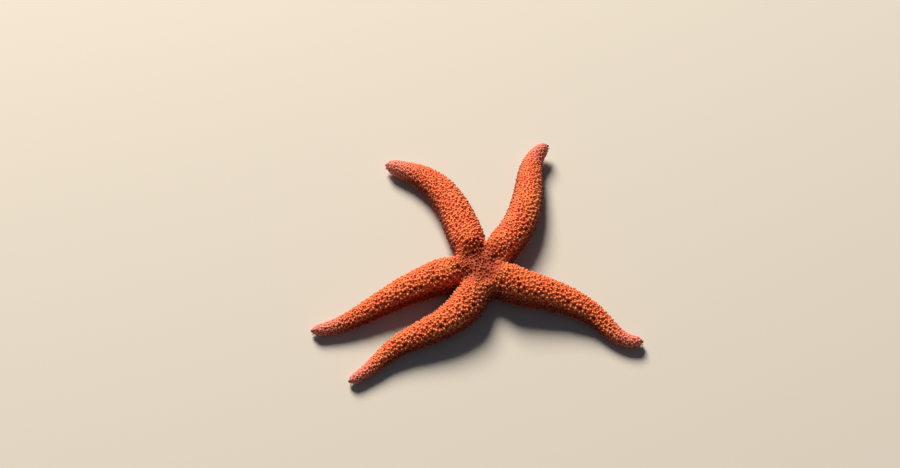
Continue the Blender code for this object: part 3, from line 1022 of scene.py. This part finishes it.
class SEASTAR_PG_stage(bpy.types.PropertyGroup):
    """Floor, light and camera"""

    floor_colour: colour("Floor", "Pale grey of the floor", "C9C8C4")
    sky_colour: colour("Surroundings", "Cool white of the studio", "CFDAEC")
    key_colour: colour("Key light", "Warm white of the main light", "FFF0DC")
    azimuth: bpy.props.FloatProperty(
        name="Azimuth", description="Way round the animal to the camera", default=0.0, subtype="ANGLE"
    )
    elevation: bpy.props.FloatProperty(
        name="Elevation", description="Camera above the horizon", default=math.radians(56), subtype="ANGLE"
    )
    distance: length("Distance", "From the camera to the point it looks at", 578)
    lens: bpy.props.FloatProperty(
        name="Lens", description="Focal length in millimetres", default=42.0, min=10.0, unit="CAMERA"
    )


class SEASTAR_PG_all(bpy.types.PropertyGroup):
    """All of the sea star's settings"""

    skin: bpy.props.PointerProperty(type=SEASTAR_PG_skin)
    coat: bpy.props.PointerProperty(type=SEASTAR_PG_coat)
    groove: bpy.props.PointerProperty(type=SEASTAR_PG_groove)
    small: bpy.props.PointerProperty(type=SEASTAR_PG_small)
    stage: bpy.props.PointerProperty(type=SEASTAR_PG_stage)


# Operators --------------------------------------------------------------------------------------


SKIN_CLEAR = 0.15  # the skin stays this far off the floor, on the spinelets under it


def skin_map(body, places):
    """The whole skin's unwrap: a strip for each arm, with every face kept in one piece."""
    spots = numpy.zeros((len(body.faces), 4, 2))
    owner = places.arm[body.faces[:, 0]]
    for index, arm in enumerate(ARMS):
        mine = body.faces[owner == index]
        along, _, turn = on_arm(arm, body.points[mine.ravel()])
        turn = turn.reshape(-1, 4)
        turn += numpy.round((turn[:, :1] - turn) / math.tau) * math.tau
        own = chosen(places, mine.ravel())._replace(along=along / arm.length, round=turn.ravel())
        strip = on_unwrap(own)
        strip[:, 1] = (index + strip[:, 1]) / len(ARMS)
        spots[owner == index] = strip.reshape(-1, 4, 2)
    return spots.reshape(-1, 2)


class SEASTAR_OT_skin(bpy.types.Operator):
    """Grow one pitted skin over the disc and the arms"""

    bl_idname = "seastar.skin"
    bl_label = "Skin"

    def execute(self, context):
        look = context.scene.seastar.skin
        body = smooth_body()
        places = find_places(body.points, body.normals)
        rim, _, _ = from_ridge(pit_net(look.pit_spacing / MM), body.points)
        depth, pit = relief(look, places, body.points, rim)
        points = body.points - body.normals * depth[:, None]
        points[:, 2] = numpy.maximum(points[:, 2], SKIN_CLEAR)
        values = {"tipward": places.tipward, "under": places.under, "painted_shade": places.painted_shade, "pit": pit}
        sizes = numpy.full(len(body.faces), 4)
        corners = body.faces.ravel()
        skin = finished_mesh(
            "skin", points, corners, sizes, skin_map(body, places), values, moist_skin(look)
        )
        flesh = [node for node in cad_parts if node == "disc" or node.startswith("arm_")]
        placed(skin, "skin", *sorted(flesh))
        return {"FINISHED"}


RIDGE_TRIES, RIDGE_SEED = 260_000, 23
ON_RIDGE = 0.30  # how near the middle of a ridge a spinelet stands
AT_CORNER = 0.30  # how nearly equal three pits' distances are where ridges meet
SPINELET_UNLIKE = 0.15  # how far a spinelet's size is from the usual one, as a share, at most
SPINELET_LEAN = 0.10  # radians, usually
# Heights of other spinelets, as shares of those on the back where ridges meet:
LOW_ON_RIDGE, LOW_ON_SOLE, LOW_AT_TIP = 0.62, 0.5, 0.55
STRETCH = 1.12  # spinelets are this much longer along their ridge
SUNK = 0.30  # how far a spinelet's foot goes into the skin, as a share of its height
SPINELET = ((1.50, -SUNK), (1.18, 0.02), (0.86, 0.38), (0.66, 0.74), (0.36, 0.96), (0.0, 1.03))
SPINELET_SIDES = 6


class SEASTAR_OT_spinelets(bpy.types.Operator):
    """Stand blunt spinelets on the ridges between the pits"""

    bl_idname = "seastar.spinelets"
    bl_label = "Spinelets"

    def execute(self, context):
        star = context.scene.seastar
        net = pit_net(star.skin.pit_spacing / MM)
        points, normals = scattered(RIDGE_TRIES, RIDGE_SEED)
        rim, corner, across = from_ridge(net, points)
        places = find_places(points, normals)
        order = numpy.argsort(numpy.where(corner < AT_CORNER, corner, 1.0 + rim), kind="stable")
        order = order[(rim[order] < ON_RIDGE) & (places.groove[order] == 0)]
        gap = numpy.where(corner < AT_CORNER, star.coat.corner_spacing, star.coat.spacing)
        gaps = gap / MM * growth(places)
        kept = order[spaced(points[order], gaps[order])]
        points, normals, across = points[kept], normals[kept], across[kept]
        places, at_corner = chosen(places, kept), corner[kept] < AT_CORNER
        depth, _ = relief(star.skin, places, points, rim[kept])
        roots = points - normals * depth[:, None]
        chance = numpy.random.default_rng(RIDGE_SEED)
        size = growth(places) * chance.uniform(1 - SPINELET_UNLIKE, 1 + SPINELET_UNLIKE, len(kept))
        radius = numpy.where(at_corner, star.coat.corner_radius, star.coat.ridge_radius) / MM * size
        height = star.coat.height / MM * size * numpy.where(at_corner, 1.0, LOW_ON_RIDGE)
        height = height * between(1.0, LOW_ON_SOLE, places.under)
        height = height * between(1.0, LOW_AT_TIP, places.tipward)
        along = numpy.cross(normals, across)
        first, second, upward = stood_on(normals, along, SPINELET_LEAN, RIDGE_SEED)
        axes = (first * (radius * STRETCH)[:, None], second * radius[:, None], upward * height[:, None])
        made_of = skinned_calcite(
            "calcite_spinelets_in_skin", star.skin, star.coat.crown_colour, star.coat.tip_crown_colour
        )
        shape = turned(SPINELET, SPINELET_SIDES)
        on_each_arm("spinelets", "spinelets", shape, roots, axes, places, RIDGE_SEED, made_of)
        return {"FINISHED"}


GILL = ((1.0, -0.15), (0.92, 0.55), (0.0, 1.0))
GILL_SIDES, GILL_SEED = 5, 37
GILLS_EACH, GILL_OUT = 3, 0.38  # how many stand in a pit, and how far from its middle
GILL_UNLIKE = 0.25  # how far a gill's size is from the usual one, as a share, at most
GILL_LEAN = 0.25  # radians, usually
GILL_UNDER = 0.3  # gills stand in the pits of skin that is less turned to the sole than this
GILL_IN = 0.6  # and where the pit is at least this share of its full depth


class SEASTAR_OT_gills(bpy.types.Operator):
    """Set small soft gills in the pits"""

    bl_idname = "seastar.gills"
    bl_label = "Gills"

    def execute(self, context):
        star = context.scene.seastar
        net = pit_net(star.skin.pit_spacing / MM)
        open_pits = numpy.flatnonzero((net.places.under < GILL_UNDER) & (net.places.groove == 0))
        index = numpy.repeat(open_pits, GILLS_EACH)
        chance = numpy.random.default_rng(GILL_SEED)
        places, normals = chosen(net.places, index), net.normals[index]
        grown = growth(places)
        offset = chance.normal(0, GILL_OUT, normals.shape) * grown[:, None]
        offset = offset - normals * (offset * normals).sum(1, keepdims=True)
        points = net.middles[index] + offset
        rim, _, _ = from_ridge(net, points)
        depth, pit = relief(star.skin, places, points, rim)
        inside = pit > GILL_IN
        roots = (points - normals * depth[:, None])[inside]
        places, grown, count = chosen(places, inside), grown[inside], int(inside.sum())
        size = grown * chance.uniform(1 - GILL_UNLIKE, 1 + GILL_UNLIKE, count)
        first, second, upward = stood_on(normals[inside], offset[inside], GILL_LEAN, GILL_SEED)
        radius = (star.coat.gill_radius / MM * size)[:, None]
        height = (star.coat.gill_height / MM * size)[:, None]
        axes = (first * radius, second * radius, upward * height)
        made_of = thin_wet_skin(
            "thin_gill_skin", star.coat.gill_colour, star.coat.gill_end_colour, roughness=0.35, glow=0.10
        )
        shape = turned(GILL, GILL_SIDES)
        on_each_arm("gills", "papulae", shape, roots, axes, places, GILL_SEED, made_of)
        return {"FINISHED"}


FOOT = (
    (0.95, -0.10),
    (0.90, 0.25),
    (0.80, 0.55),
    (0.82, 0.78),
    (1.20, 0.86),
    (1.30, 0.95),
    (1.05, 1.0),
    (0.0, 0.97),
)
FOOT_SIDES, FOOT_SEED = 9, 53
FOOT_STEP = 2.35  # distance between two feet of a row, in foot radii
FOOT_STAGGER = 0.5  # how far one row is ahead of the other, in foot radii
FOOT_ROOT_OUT, FOOT_ROOT_UP, FOOT_END_OUT = 0.075, 0.165, 0.115  # places in the arm's section
FOOT_STRAY, FOOT_STRAY_OUT = 0.5, 0.015  # how far feet's ends stray, in foot radii and in half-widths
FOOT_CLEAR = 0.12  # the suckers stay this far off the floor
IN_GROOVE_FROM = 11.0  # the feet and spines of a groove begin this far from the mouth
SPINE = ((1.0, -0.2), (0.95, 0.3), (0.86, 0.75), (0.5, 0.97), (0.0, 1.04))
SPINE_SIDES, SPINE_SEED = 7, 61
SPINE_STEP = 2.6  # distance between two spines of a row, in spine radii
SPINE_AT_TIP = 0.5  # size of the last spines, as a share of the first ones'
SPINE_STRAY = 0.22  # how far spines lean along the arm, as a share of their length
SPINE_CLEAR = 0.3  # their roots stay this far off the floor
SPINE_ROWS = (  # how far out and up a row is rooted, and its spines' lean out, down and length
    (0.17, 0.05, -0.75, -0.55, 0.80),
    (0.26, 0.03, -0.25, -0.60, 1.00),
)
MOUTH_SPINES = 7  # to each of the five jaws
MOUTH_SPINE_SPREAD = 0.42  # radians about the mouth to either side of a jaw's middle
MOUTH_SPINE_OUT, MOUTH_SPINE_UP = 0.40, 0.9  # share of the way to the armpit, and height
MOUTH_SPINE_LENGTH = 2.1
MOUTH_SPINE_THICK = 1.3  # their thickness, as a share of the other spines'
MOUTH_SPINE_DROP = 0.12  # how far they point down, as a share of how far they point inward
ASIDE = (0.31, 0.22, 0.92)  # a way that no spine or foot points


def along_groove(arm, radius_at, step):
    """Distances along an arm from the groove's inner end to its outer one, so many radii apart."""
    found = [IN_GROOVE_FROM]
    while found[-1] < arm.length * GROOVE_END:
        found.append(found[-1] + radius_at(found[-1] / arm.length) * step)
    return numpy.array(found[:-1])


def copies_along(name, slot, shape, roots, ways, radius, seed, made_of):
    """Places copies on the underside, each of its radius and from its root to the end of its way."""
    upward = unit(ways)
    first = unit(numpy.cross(upward, ASIDE))
    axes = (first * radius[:, None], numpy.cross(upward, first) * radius[:, None], ways)
    places = find_places(roots, numpy.tile((0.0, 0.0, -1.0), (len(roots), 1)))
    copies(name, slot, shape, roots, axes, places, seed, made_of)


class SEASTAR_OT_tube_feet(bpy.types.Operator):
    """Hang two rows of tube feet in every groove"""

    bl_idname = "seastar.tube_feet"
    bl_label = "Tube feet"

    def execute(self, context):
        look = context.scene.seastar.groove
        wide = look.foot_radius / MM
        radius_at = functools.partial(between, wide, look.tip_foot_radius / MM)
        chance = numpy.random.default_rng(FOOT_SEED)
        made_of = thin_wet_skin(
            "tube_foot_skin", look.foot_colour, look.sucker_colour, roughness=0.40, glow=0.25
        )
        shape = turned(FOOT, FOOT_SIDES)
        for arm in ARMS:
            along = along_groove(arm, radius_at, FOOT_STEP)
            roots, ends = [], []
            for side, ahead in ((1, FOOT_STAGGER * wide), (-1, 0.0)):
                shifted = along + ahead
                stray = chance.normal(0, FOOT_STRAY, len(along)) * radius_at(shifted / arm.length)
                sideways = side * FOOT_END_OUT + chance.normal(0, FOOT_STRAY_OUT, len(along))
                roots.append(section_point(arm, shifted, side * FOOT_ROOT_OUT, FOOT_ROOT_UP))
                ends.append(section_point(arm, shifted + stray, sideways, 0.0))
            roots, ends = numpy.vstack(roots), numpy.vstack(ends)
            ends[:, 2] = numpy.maximum(ends[:, 2], FOOT_CLEAR)
            radius = numpy.tile(radius_at(along / arm.length), 2)
            name = f"tube_feet_{arm.number}"
            copies_along(name, "tube_feet", shape, roots, ends - roots, radius, arm.number, made_of)
        return {"FINISHED"}


class SEASTAR_OT_groove_spines(bpy.types.Operator):
    """Line the grooves with two rows of short spines, and ring the mouth with longer ones"""

    bl_idname = "seastar.groove_spines"
    bl_label = "Groove spines"

    def execute(self, context):
        star = context.scene.seastar
        look = star.groove
        radius, long = look.spine_radius / MM, look.spine_length / MM
        size_at = functools.partial(between, 1.0, SPINE_AT_TIP)
        chance = numpy.random.default_rng(SPINE_SEED)
        made_of = skinned_calcite(
            "calcite_groove_spines", star.skin, look.spine_colour, star.coat.tip_crown_colour
        )
        shape = turned(SPINE, SPINE_SIDES)
        for arm in ARMS:
            along = along_groove(arm, size_at, SPINE_STEP * radius)
            _, ahead, left = place(arm, along)
            roots, ways, sizes = [], [], []
            for side in (1, -1):
                for out, up, lean_out, lean_down, share in SPINE_ROWS:
                    roots.append(section_point(arm, along, side * out, up))
                    lean = chance.normal(0, SPINE_STRAY, (len(along), 1))
                    flat = left * side * lean_out + ahead * lean
                    ways.append(numpy.column_stack((flat, numpy.full(len(along), lean_down))))
                    sizes.append(size_at(along / arm.length) * share)
            bearing, distance = armpit(arm)
            bearings = bearing + numpy.linspace(-1, 1, MOUTH_SPINES) * MOUTH_SPINE_SPREAD
            out = distance * MOUTH_SPINE_OUT
            jaw = numpy.array([from_mouth(bearing, out, MOUTH_SPINE_UP) for bearing in bearings])
            roots.append(jaw)
            inward = unit(numpy.append(MOUTH, 0.0) - jaw * (1, 1, 0))
            ways.append(inward - (0, 0, MOUTH_SPINE_DROP))
            sizes.append(numpy.full(MOUTH_SPINES, MOUTH_SPINE_LENGTH / long))
            roots, ways, size = numpy.vstack(roots), numpy.vstack(ways), numpy.concatenate(sizes)
            roots[:, 2] = numpy.maximum(roots[:, 2], SPINE_CLEAR)
            ways = unit(ways) * (long * size)[:, None]
            thick = radius * numpy.minimum(size, MOUTH_SPINE_THICK)
            name, seed = f"groove_spines_{arm.number}", SPINE_SEED + arm.number
            copies_along(name, "spinelets", shape, roots, ways, thick, seed, made_of)
        return {"FINISHED"}


PLATE_RADII = (2.05, 1.75)
PLATE_RISE, PLATE_SUNK = 0.55, 0.9  # the dome's height over its rim, and its rim's depth under the skin
PLATE_RINGS, PLATE_SECTORS = 25, 120
PLATE_RIM = 0.86  # share of the way out where the dome begins to go under the skin
PLATE_MARGIN = 1.1  # half of the plate's map, in plate radii
FURROWS = (9, 18)  # near the middle, and outside where each has forked
FURROW_DEPTH = 0.20
FURROWS_FROM, FURROWS_TO = 0.05, 0.22  # shares of the way out where the furrows begin
FORK_FROM, FORK_TO = 0.35, 0.62  # and where they fork


class SEASTAR_OT_sieve_plate(bpy.types.Operator):
    """Lay the sieve plate on the disc, with winding furrows that fork on their way out"""

    bl_idname = "seastar.sieve_plate"
    bl_label = "Sieve plate"

    def execute(self, context):
        look = context.scene.seastar.small
        low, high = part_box("madreporite")
        centre = numpy.array((low + high) / 2) / MM
        body = smooth_body()
        nearest = ((body.points - centre) ** 2).sum(1).argmin()
        first, second, upward = stood_on(body.normals[[nearest]], numpy.array([[1.0, 0.0, 0.0]]), 0.0, 0)
        outs = numpy.linspace(1, 0, PLATE_RINGS, endpoint=False)
        turns = numpy.arange(PLATE_SECTORS) / PLATE_SECTORS * math.tau
        out, turn = numpy.meshgrid(outs, turns, indexing="ij")
        wound = turn + 0.22 * numpy.sin(3 * turn + 6 * out) + 0.16 * numpy.sin(7 * out + 2)
        waves = [numpy.cos(count * wound) for count in FURROWS]
        ridge = 0.5 + 0.5 * between(*waves, smoothstep(FORK_FROM, FORK_TO, out))
        ridge = between(1.0, ridge, smoothstep(FURROWS_FROM, FURROWS_TO, out))
        edge = smoothstep(PLATE_RIM, 1.0, out)
        height = PLATE_RISE * (1 - out**2) - FURROW_DEPTH * (1 - ridge) - PLATE_SUNK * edge
        flat = numpy.stack((numpy.cos(turn), numpy.sin(turn)), -1) * out[..., None] * PLATE_RADII
        local = numpy.vstack((numpy.dstack((flat, height)).reshape(-1, 3), (0, 0, PLATE_RISE)))
        points = centre + local @ numpy.vstack((first, second, upward))
        corners, sizes = round_faces(PLATE_RINGS, PLATE_SECTORS)
        spots = (0.5 + local[:, :2] / (2 * PLATE_MARGIN * max(PLATE_RADII)))[corners]
        values = {"pit": numpy.append((1 - ridge).ravel(), 0.0)}
        plate = finished_mesh("sieve_plate", points, corners, sizes, spots, values, chalky_plate(look))
        placed(plate, "sieve_plate", "madreporite")
        return {"FINISHED"}


TENTACLE = ((1.0, -0.15), (0.95, 0.3), (0.85, 0.65), (0.7, 0.88), (0.0, 1.0))
TENTACLE_SIDES, TENTACLE_SEED = 9, 71
TENTACLES = (  # how far out and up each is rooted, its length and its radius
    (0.0, 0.10, 1.0, 0.34),
    (0.30, 0.09, 0.7, 0.28),
    (-0.30, 0.09, 0.8, 0.28),
)
TENTACLE_FROM = 0.45  # how far past the arm's end they are rooted, in half-widths
TENTACLE_SPLAY, TENTACLE_UP = 1.5, 0.08  # their ends are further out by that factor, and higher by that


class SEASTAR_OT_eyespots(bpy.types.Operator):
    """Finish the eyespots, and put a few soft tentacles under each"""

    bl_idname = "seastar.eyespots"
    bl_label = "Eyespots"

    def execute(self, context):
        look = context.scene.seastar.small
        pigment = pigment_cushion(look)
        soft = thin_wet_skin(
            "tip_tentacle_skin", look.tentacle_colour, look.tentacle_end_colour, roughness=0.35, glow=0.25
        )
        shape = turned(TENTACLE, TENTACLE_SIDES)
        for arm in ARMS:
            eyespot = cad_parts[f"eyespot_{arm.number}"]
            eyespot.material_slots[0].material = pigment
            eyespot.data.shade_smooth()
            roots, ways = [], []
            start = arm.length + TENTACLE_FROM * float(half_width(arm, arm.length))
            for out, up, long, _ in TENTACLES:
                roots.append(section_point(arm, start, out, up))
                end = section_point(arm, start + long, out * TENTACLE_SPLAY, up + TENTACLE_UP)
                ways.append(end - roots[-1])
            roots, ways, radius = numpy.array(roots), numpy.array(ways), numpy.array(TENTACLES)[:, 3]
            name, seed = f"tip_tentacles_{arm.number}", TENTACLE_SEED + arm.number
            copies_along(name, "tube_feet", shape, roots, ways, radius, seed, soft)
        return {"FINISHED"}


FLOOR_SIDE = 8.0  # metres
KEY_FROM = Vector((-0.28, 0.75, 0.60)).normalized()  # the way from the animal to the main light
KEY_AWAY, KEY_WIDTH, KEY_POWER = 4.0, 1.7, 345.0  # metres and watts
SURROUNDINGS = 0.10  # strength of the light from all round
AIM = Vector((-14.2, 4.7, 20.0)) * MM  # the point that the camera looks at


class SEASTAR_OT_stage(bpy.types.Operator):
    """Lay the floor, hang the light and set up the camera"""

    bl_idname = "seastar.stage"
    bl_label = "Stage"

    def execute(self, context):
        scene, look = context.scene, context.scene.seastar.stage
        half = FLOOR_SIDE / 2
        sheet = bpy.data.meshes.new("floor")
        edge = [(-half, -half, 0), (half, -half, 0), (half, half, 0), (-half, half, 0)]
        sheet.from_pydata(edge, [], [(0, 1, 2, 3)])
        floor = bpy.data.objects.new("floor", sheet)
        sheet.materials.append(painted_board(look))
        scene.collection.objects.link(floor)

        lamp = bpy.data.lights.new("key", "AREA")
        lamp.shape, lamp.size, lamp.energy, lamp.color = "DISK", KEY_WIDTH, KEY_POWER, look.key_colour
        key = bpy.data.objects.new("key", lamp)
        key.location = KEY_FROM * KEY_AWAY
        key.rotation_euler = KEY_FROM.to_track_quat("Z", "Y").to_euler()
        scene.collection.objects.link(key)

        world = bpy.data.worlds.new("studio")
        world.use_nodes = True
        sky = world.node_tree.nodes["Background"]
        sky.inputs["Color"].default_value = opaque(look.sky_colour)
        sky.inputs["Strength"].default_value = SURROUNDINGS
        scene.world = world
        scene.view_settings.view_transform = "Standard"

        lens = bpy.data.cameras.new("camera")
        lens.lens, lens.sensor_width = look.lens, 36.0
        lens.clip_start, lens.clip_end = 0.01, 50.0
        flat = math.cos(look.elevation)
        back = Vector((
            math.sin(look.azimuth) * flat, -math.cos(look.azimuth) * flat, math.sin(look.elevation)
        ))
        camera = bpy.data.objects.new("camera", lens)
        camera.location = AIM + back * look.distance
        camera.rotation_euler = back.to_track_quat("Z", "Y").to_euler()
        scene.collection.objects.link(camera)
        scene.camera = camera
        return {"FINISHED"}


OPERATORS = (
    SEASTAR_OT_skin,
    SEASTAR_OT_spinelets,
    SEASTAR_OT_gills,
    SEASTAR_OT_tube_feet,
    SEASTAR_OT_groove_spines,
    SEASTAR_OT_sieve_plate,
    SEASTAR_OT_eyespots,
    SEASTAR_OT_stage,
)
GROUPS = (
    SEASTAR_PG_skin,
    SEASTAR_PG_coat,
    SEASTAR_PG_groove,
    SEASTAR_PG_small,
    SEASTAR_PG_stage,
    SEASTAR_PG_all,
)


class SEASTAR_PT_panel(bpy.types.Panel):
    """Buttons for the pieces, and their settings"""

    bl_idname = "SEASTAR_PT_panel"
    bl_label = "Red sea star"
    bl_space_type = "VIEW_3D"
    bl_region_type = "UI"
    bl_category = "Sea star"

    def draw(self, context):
        star = context.scene.seastar
        for operator in OPERATORS:
            self.layout.operator(operator.bl_idname)
        for group in (star.skin, star.coat, star.groove, star.small, star.stage):
            box = self.layout.box()
            for name in group.__annotations__:
                box.prop(group, name)


def register():
    for kind in (*GROUPS, *OPERATORS, SEASTAR_PT_panel):
        bpy.utils.register_class(kind)
    bpy.types.Scene.seastar = bpy.props.PointerProperty(type=SEASTAR_PG_all)


def unregister():
    del bpy.types.Scene.seastar
    for kind in reversed((*GROUPS, *OPERATORS, SEASTAR_PT_panel)):
        bpy.utils.unregister_class(kind)


def main():
    register()
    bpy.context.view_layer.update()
    for operator in OPERATORS:
        family, name = operator.bl_idname.split(".")
        getattr(getattr(bpy.ops, family), name)()


if __name__ == "__main__":
    main()
